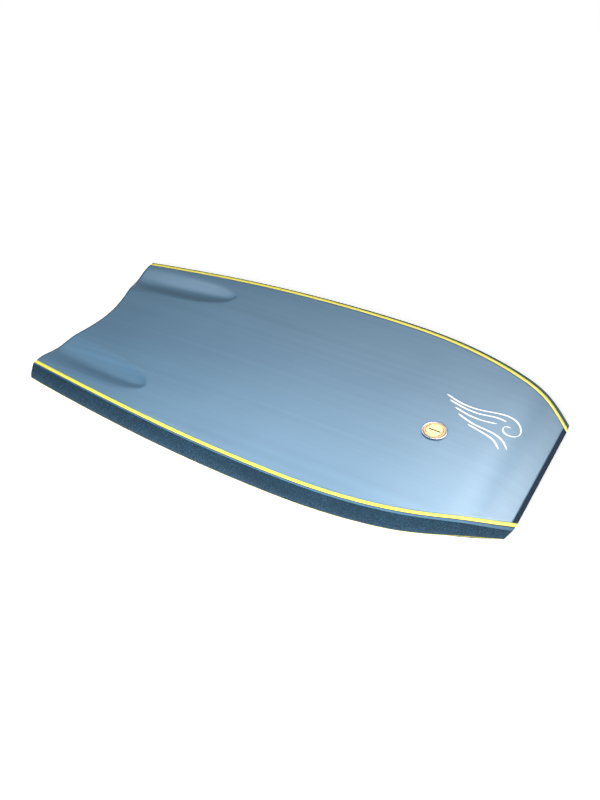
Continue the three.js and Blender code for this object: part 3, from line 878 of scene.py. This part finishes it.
net = {
    "pitch": 14,
    "strandRadius": 0.28,
    "strandSides": 5,
    "crossPoints": 45,  # along each crosswise strand
    "reach": 0.99,  # share of the half width that the strands cover
    "endMargin": 1,
    "holeMargin": 3,
}
dial = {"radius": 17.4, "sweep": 84, "studs": 8, "studRadius": 1.3, "studHeight": 0.3, "studSides": 14}


def netLines(height):
    # lines along and across one reinforcing mesh, as edges, left out round the leash plug
    points, edges = [], []
    reach = plug["cupRadius"] + plug["sealWidth"] + net["holeMargin"]

    def addLine(line):
        clear = np.hypot(line[:, 0] - plugX, line[:, 1] + plug["offset"]) > reach
        for i in range(len(line) - 1):
            if clear[i] and clear[i + 1]:
                edges.append((len(points) + i, len(points) + i + 1))
        points.extend(line.tolist())

    halfCount = round(halfWidth(board["widestAt"] * length) / net["pitch"])
    tailInset = bumper["tail"] + net["endMargin"]
    noseInset = bumper["noseBand"] + net["endMargin"]
    for share in np.linspace(-net["reach"], net["reach"], 2 * halfCount + 1):
        addLine(runOf((across(share), height), tailInset, noseInset))
    for x in np.arange(stations[0], stations[-1], net["pitch"]):
        y = np.linspace(-net["reach"], net["reach"], net["crossPoints"]) * innerEdge(x)
        addLine(np.stack([np.full_like(y, x), y, height(x, y)], 1))
    return points, edges


def makeNet(name, height, node):
    points, edges = netLines(height)
    lines = bpy.data.meshes.new("lines")
    lines.from_pydata(points, edges, [])
    values = {"strandRadius": net["strandRadius"], "strandSides": net["strandSides"], "finish": meshWeave}
    mesh = grow(netTree, values, lines)
    mesh.transform(boardPlace)
    mesh.shade_smooth()
    addPiece(name, mesh, "mesh", node)


def makeDial():
    values = {
        "arcRadius": dial["radius"],
        "arcStart": math.radians(90 - dial["sweep"] / 2),
        "arcSweep": math.radians(dial["sweep"]),
        "studCount": dial["studs"],
        "studSides": dial["studSides"],
        "studRadius": dial["studRadius"],
        "studHeight": dial["studHeight"],
        "finish": dialInk,
    }
    mesh = grow(dialTree, values)
    turn = Matrix.Rotation(math.radians(90), 4, "Z")
    mesh.transform(plugOnBoard @ Matrix.Translation((0, 0, recessHeight)) @ turn)
    finishMesh(mesh, dialInk)
    addPiece("plug_badge_studs", mesh, "badge")


# The laminated layers.

pinlineDepth = glueGap + layers["film"] + layers["backing"]  # that of the slick's two layers


def makeBoreTool():
    # the core's bore for the stringer, from its tail end to the far side of the nose cap
    low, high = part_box("stringer_nose_cap")
    axis = sum(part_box("stringer_tube"), Vector()) / 2
    radius = (high.z - low.z) / 2 / mm + glueGap
    end = high.x / mm + glueGap
    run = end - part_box("core")[0].x / mm + 2 * overshoot
    solid = turned([[0, 0], [radius, 0], [radius, run], [0, run]])
    lay = Matrix.Rotation(math.radians(90 + board["pitch"]), 4, "Y")
    spot = axis + lay @ Vector((0, 0, end - axis.x / mm - run)) * mm
    place = Matrix.Translation(spot) @ lay @ Matrix.Scale(mm, 4)
    return makeMesh("bore", *solid, place, beadFoam, soften=False)


def makeLayers():
    netDepth = pinlineDepth + glueGap + layers["mesh"] / 2
    coreTop = netDepth + layers["mesh"] / 2 + glueGap
    netRise = layers["deck"] + glueGap + layers["mesh"] / 2
    coreBottom = netRise + layers["mesh"] / 2 + glueGap
    tool = holeTool()

    def sheet(name, upper, lower, tailInset, finish, slot, node, *tools):
        lines = sheetLines(upper, lower)
        rings = np.stack([runOf(line, tailInset, bumper["noseBand"]) for line in lines], 1)
        mesh = cutMesh(makeMesh(name, *loft(rings, lacedCap), boardPlace, finish), tool, *tools)
        finishMesh(mesh, finish)
        addPiece(name, mesh, slot, node)

    sheet("slick_film", underSlick(0), underSlick(layers["film"]), bumper["tailLip"],
          slickFilm, "slick", "slick_skin")
    sheet("backing_foam", underSlick(layers["film"] + glueGap), underSlick(pinlineDepth), bumper["tailLip"],
          backingFoam, "backing_foam", "slick_backing")
    sheet("beaded_core", underSlick(coreTop), overDeck(coreBottom), bumper["tail"],
          beadFoam, "core_foam", "core", makeBoreTool())
    makeNet("slick_net", underSlick(netDepth), "slick_mesh")
    makeNet("deck_net", overDeck(netRise), "deck_mesh")

    def deckEdge(sign, rise):
        return (lambda x: sign * sideAt(x, chineSide(x, rise))), overDeck(rise)

    # the deck skin runs out over the chines and the bumpers
    lines = sheetLines(overDeck(layers["deck"]), overDeck(0))
    half = len(lines) // 2
    lines = [deckEdge(-1, layers["deck"]), *lines[:half], deckEdge(1, layers["deck"]),
             deckEdge(1, 0), *lines[half:], deckEdge(-1, 0)]
    rings = np.stack([runOf(line, 0, 0) for line in lines], 1)
    mesh = cutMesh(makeMesh("deck", *loft(rings, lacedCap), boardPlace, deckFoam), tool)
    finishMesh(mesh, deckFoam)
    addPiece("deck_foam_skin", mesh, "deck_foam", "deck_skin")


def paintBevelHighlight(mesh):
    # the up-facing faces of the bevel beside the pinline get a paler copy of the rail foam: a painted
    # highlight
    mesh.materials.append(bevelHighlightFoam)
    toBoard = boardPlace.inverted()
    margin = rail["highlightMargin"]
    for face in mesh.polygons:
        x, _, z = toBoard @ face.center
        onBevel = margin < slickHeight(x) - z < rail["bevelDrop"] - margin
        if onBevel and face.normal.z > rail["highlightUp"]:
            face.material_index = 1


def makeRails():
    inside = glueGap - rail["pinline"]

    def steady(value):
        return lambda x: value

    def stripTop(x):
        return apexDepth(x) + glueGap

    def stripBottom(x):
        return stripTop(x) + rail["apexStrip"]

    def stripSide(share):
        # the strip stands a little proud, most near its upper edge
        proud = rail["apexStripProud"] * math.sin(math.pi * share ** rail["apexStripSkew"])

        def out(x):
            bottom = chineSide(x, thickness(x) - stripBottom(x))
            return mix(apexSide(x), bottom, share) + proud

        return out, lambda x: mix(stripTop(x), stripBottom(x), share)

    def chineTop(x):
        return stripBottom(x) + glueGap

    def chineBottom(x):
        return thickness(x) - layers["deck"] - glueGap

    def bulge(share):
        def out(x):
            return mix(shoulder(x), apexSide(x), math.sin(math.pi * share / 2))

        return out, lambda x: mix(rail["bevelDrop"], apexDepth(x), share)

    sections = {
        "rail_foam": [
            (steady(inside), steady(pinlineDepth + glueGap)),
            (steady(glueGap), steady(pinlineDepth + glueGap)),
            (steady(glueGap), steady(0)),
            (steady(rail["lip"]), steady(0)),
            *[bulge(share) for share in np.linspace(0, 1, rail["sideFaces"] + 1)],
            (steady(inside), apexDepth),
        ],
        "slick_pinline": [
            (steady(inside), steady(0)), (steady(0), steady(0)),
            (steady(0), steady(pinlineDepth)), (steady(inside), steady(pinlineDepth)),
        ],
        "rail_pinline": [
            (steady(inside), stripTop),
            *[stripSide(share) for share in np.linspace(0, 1, rail["apexStripFaces"] + 1)],
            (steady(inside), stripBottom),
        ],
        "chine_foam": [
            (steady(inside), chineTop),
            (lambda x: chineSide(x, thickness(x) - chineTop(x)), chineTop),
            (lambda x: chineSide(x, layers["deck"] + glueGap), chineBottom),
            (steady(inside), chineBottom),
        ],
    }
    finishes = {
        "rail_foam": (railFoam, "rail_foam", "rail"),
        "slick_pinline": (pinlineFilm, "pinline", "slick_pinline"),
        "rail_pinline": (railPinlineFoam, "rail_pinline", "rail_pinline"),
        "chine_foam": (chineFoam, "chine_foam", "chine"),
    }
    for hand, sign in (("left", -1), ("right", 1)):
        for kind, section in sections.items():
            finish, slot, node = finishes[kind]
            rings = np.stack([runOf(railLine(sign, *point), 0, 0) for point in section], 1)
            mesh = makeMesh(kind, *loft(rings, flatCap), boardPlace, finish)
            # the rail foam gets its painted highlight on the bevel
            if kind == "rail_foam":
                paintBevelHighlight(mesh)
            addPiece(f"{kind}_strip_{hand}", mesh, slot, f"{node}_{hand}")


def makeBumpers():
    # each section is a list of how far in a corner is from its end, and of the height that it follows
    ledge = underSlick(pinlineDepth + glueGap)
    deckSide = overDeck(layers["deck"] + glueGap)
    flush = underSlick(0)
    lip = bumper["tailLip"] - glueGap
    back = bumper["tail"] - glueGap
    tailSection = [(0, flush), (lip, flush), (lip, ledge), (back, ledge), (back, deckSide), (0, deckSide)]
    insets = np.linspace(bumper["noseBand"] - glueGap, 0, bumper["noseFaces"] + 1)
    noseSection = [(inset, flush) for inset in insets] + [(0, deckSide), (insets[0], deckSide)]

    def pointAt(end, share, inset, height):
        rule = (across(share), height)
        x = end(rule, inset)
        y = rule[0](x)
        return [x, y, height(x, y)]

    shares = np.linspace(-1, 1, layers["columns"] + 1)
    for name, section, end, node in (
        ("tail_block", tailSection, tailEnd, "tail_bumper"),
        ("nose_block", noseSection, noseEnd, "nose_bumper"),
    ):
        rings = np.array([[pointAt(end, share, *corner) for corner in section] for share in shares])
        mesh = makeMesh(name, *loft(rings, flatCap), boardPlace, bumperFoam)
        addPiece(name, mesh, "bumper_foam", node)


# The white print on the slick: a breaking wave and the swashes under it, drawn with a broad pen.

wavePrint = {
    "start": (824, 96),
    "along": (0.9, -0.436),
    "up": (0.436, 0.9),
    "strokes": [
        [(0, 0), (36, 5), (74, 22), (104, 46), (134, 60), (160, 53), (171, 34), (160, 18), (144, 19),
         (139, 30), (148, 37)],
        [(16, -7), (54, 1), (88, 17), (112, 35), (130, 42)],
        [(40, -13), (76, -6), (104, 7), (124, 22)],
        [(58, -21), (98, -17), (134, -5), (164, -2), (188, -12)],
        [(92, -27), (128, -19), (156, -17), (178, -25)],
    ],
    "thin": 1.3,
    "thick": 4.4,
    "nib": 62,  # angle of the pen, in degrees
    "contrast": 1.5,  # how soon a stroke thickens as it turns across the pen
    "taper": 7.5,  # length of a stroke's pointed end
    "blunt": 0.08,  # how much of its point is left off
    "pointsPerBend": 14,
    "film": 0.14,
    "filmTop": 0.8,  # share of a stroke's width that is flat on top
    "lift": 0.02,
}


def penStroke(points):
    # a ribbon along a smooth line, wider where the line runs across the pen
    points = np.array(points, float)
    axes = np.array([wavePrint["along"], wavePrint["up"]])
    spot = wavePrint["start"] + points @ axes
    at = np.concatenate([[0], np.cumsum(np.hypot(*np.diff(spot, axis=0).T))])
    t = np.linspace(0, at[-1], wavePrint["pointsPerBend"] * len(points))
    line = np.stack([naturalCubic(list(zip(at, spot[:, axis])))(t) for axis in (0, 1)], 1)
    run = np.gradient(line, axis=0)
    run /= np.hypot(run[:, 0], run[:, 1])[:, None]
    slant = np.arctan2(run[:, 1], run[:, 0]) - math.radians(wavePrint["nib"])
    taper = np.sqrt(np.clip(np.minimum(t, at[-1] - t) / wavePrint["taper"], wavePrint["blunt"], 1))
    bold = np.abs(np.sin(slant)) ** wavePrint["contrast"]
    half = mix(wavePrint["thin"], wavePrint["thick"], bold) * taper / 2
    side = np.stack([-run[:, 1], run[:, 0]], 1)
    filmTop = wavePrint["filmTop"]
    rings = []
    for out, rise in ((-1, 0), (-filmTop, 1), (filmTop, 1), (1, 0)):
        flat = line + side * (half * out)[:, None]
        slick = underSlick(0)(flat[:, 0], flat[:, 1])
        rings.append(np.column_stack([flat, slick + wavePrint["lift"] + wavePrint["film"] * rise]))
    return loft(np.stack(rings, 1), flatCap)


def makePrint():
    for number, stroke in enumerate(wavePrint["strokes"], 1):
        mesh = makeMesh("print", *penStroke(stroke), boardPlace, whitePrint, soften=False)
        addPiece(f"wave_print_{number}", mesh, "slick")


# The studio: floor, lights and camera.

studio = {
    "floor": 14.0,
    "lowWash": 0.12,  # brightness of the surroundings, low down and overhead
    "highWash": 0.75,
    "washStart": 0.45,  # sine of the elevation at which they start to brighten
    "tint": (0.97, 0.985, 1, 1),
    "panels": [  # place, size, power, whether it is for reflections only
        ((0.25, -1.1, 0.72), (1.1, 0.4), 38, False),
        ((-1.0, 1.25, 2.0), (1.5, 0.8), 9, True),
        ((0.6, 1.15, 2.05), (1.9, 0.8), 42, True),
        ((1.8, 1.4, 1.95), (1.2, 0.8), 30, True),
    ],
}
view = {
    "target": (0.0349, -0.0654, 0.0655),
    "azimuth": 28.947,
    "elevation": 41.091,
    "roll": 0.313,
    "distance": 2.1143,
    "lens": 46.755,
    "sensor": 36,
}


def makeStudio():
    half = studio["floor"] / 2
    corners = [(-half, -half, 0), (half, -half, 0), (half, half, 0), (-half, half, 0)]
    mesh = bpy.data.meshes.new("floor")
    mesh.from_pydata(corners, [], [(0, 1, 2, 3)])
    mesh.materials.append(floorFinish)
    floor = bpy.data.objects.new("floor", mesh)
    scene.collection.objects.link(floor)
    world = bpy.data.worlds.new("studio")
    world.use_nodes = True
    tree = world.node_tree
    direction = addNode(tree, "ShaderNodeTexCoord").outputs["Generated"]
    rise = addNode(tree, "ShaderNodeSeparateXYZ", {0: direction}).outputs["Z"]
    wash = spread(tree, rise, studio["washStart"], 1, studio["lowWash"], studio["highWash"])
    backdrop = addNode(tree, "ShaderNodeLightPath").outputs["Is Camera Ray"]
    background = tree.nodes["Background"]
    background.inputs["Color"].default_value = studio["tint"]
    tree.links.new(calculate(tree, "MAXIMUM", wash, backdrop), background.inputs["Strength"])
    scene.world = world
    for number, (place, size, power, glossOnly) in enumerate(studio["panels"], 1):
        light = bpy.data.lights.new(f"panel{number}", "AREA")
        light.shape = "RECTANGLE"
        light.size, light.size_y = size
        light.energy = power
        lamp = bpy.data.objects.new(f"panel{number}", light)
        lamp.location = place
        lamp.visible_camera = False
        lamp.visible_diffuse = not glossOnly
        lamp.visible_glossy = glossOnly
        lamp.rotation_euler = (-Vector(place)).to_track_quat("-Z", "Y").to_euler()
        scene.collection.objects.link(lamp)
    scene.view_settings.view_transform = "Standard"


def makeCamera():
    data = bpy.data.cameras.new("camera")
    data.lens = view["lens"]
    data.sensor_width = view["sensor"]
    camera = bpy.data.objects.new("camera", data)
    scene.collection.objects.link(camera)
    turn, rise = math.radians(view["azimuth"]), math.radians(view["elevation"])
    back = Vector((math.sin(turn) * math.cos(rise), -math.cos(turn) * math.cos(rise), math.sin(rise)))
    level = (-back).to_track_quat("-Z", "Y").to_matrix().to_4x4()
    roll = Matrix.Rotation(math.radians(view["roll"]), 4, "Z")
    stand = Matrix.Translation(Vector(view["target"]) + back * view["distance"])
    camera.matrix_world = stand @ level @ roll
    scene.camera = camera


makeCamera()
slickFilm = makeFilm()
backingFoam = makeFoam("backing_foam", (82, 114, 138), (104, 138, 160), 0.6, 0.3)
# the rail foam's top is darkened by painted shade
railFoam = makeFoam("speckled_rail_foam", (12, 28, 38), (50, 84, 108), 1.0, 0.4, paintedTopShade=0.45)
# a paler copy of the rail foam, for the painted highlight on the rail bevel
bevelHighlightFoam = makeFoam("painted_highlight_rail_bevel", (62, 94, 118), (84, 118, 142), 0.8, 0.2, 0.5)
chineFoam = makeFoam("speckled_chine_foam", (6, 20, 31), (34, 62, 84), 1.0, 0.4)
bumperFoam = makeFoam("speckled_bumper_foam", (16, 30, 46), (44, 66, 88), 1.0, 0.4)
deckFoam = makeFoam("textured_deck_foam", (34, 46, 58), (52, 68, 84), 1.4, 0.8, 0.8)
beadFoam = makeBeadFoam("beaded_core_foam", (196, 203, 204), (236, 240, 240), 0.7)
meshWeave = makeGrained("plastic", "weave_plastic", (206, 210, 210), (228, 231, 231), 0.5)
pinlineFilm = makeGrained("pinline", "yellow_pinline", (240, 228, 84), (226, 210, 64), 0.42)
railPinlineFoam = makeGrained("pinline", "olive_pinline", (158, 150, 62), (132, 126, 54), 0.6)
plugBlack = makeGrained("plastic", "moulded_black", (30, 33, 36), (46, 49, 53), 0.45)
capPlastic = makeGrained("plastic", "moulded_white", (208, 206, 200), (222, 220, 214), 0.5)
sealRubber = makeGrained("plastic", "seal_rubber", (22, 23, 25), (34, 35, 37), 0.75)
dialInk = makeGrained("plastic", "dark_enamel", (30, 22, 18), (46, 34, 28), 0.5)
barSteel = makeGrained("steel", "drawn_steel", (176, 179, 184), (212, 214, 217), 0.28)
carbonTwill = makeCarbon("carbon_twill", (20, 21, 23), (58, 60, 64))
whitePrint = makeGrained("paint", "white_print", (236, 241, 247), (252, 253, 255), 0.425)
floorFinish = makeFloorFinish("pale_floor", (246, 246, 246), (250, 250, 250), 0.6)
badgeGold = makeTurnedMetal("turned_gold", (212, 192, 144), (198, 148, 104), 0.4, badgeRadius, rings=26)
ringRadius = plug["flangeRadius"]
ringChrome = makeTurnedMetal("bright_ring", (118, 124, 136), (156, 164, 176), 0.2, ringRadius, rings=60)
print("finishes made")

netTree = makeNetTree()
dialTree = makeDialTree()
makeLayers()
print("layers made")
makeRails()
makeBumpers()
print("rails and bumpers made")
makePlugPieces()
makeDial()
makePrint()
print("plug and print made")

for node, finish in {
    "stringer_tube": carbonTwill,
    "stringer_tail_cap": capPlastic,
    "stringer_nose_cap": capPlastic,
    "stringer_bore_plug": beadFoam,
    "plug_slick_seal": sealRubber,
    "plug_deck_seal": sealRubber,
}.items():
    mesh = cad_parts[node].data
    mesh.materials.clear()
    mesh.materials.append(finish)

makeStudio()
print("studio made")
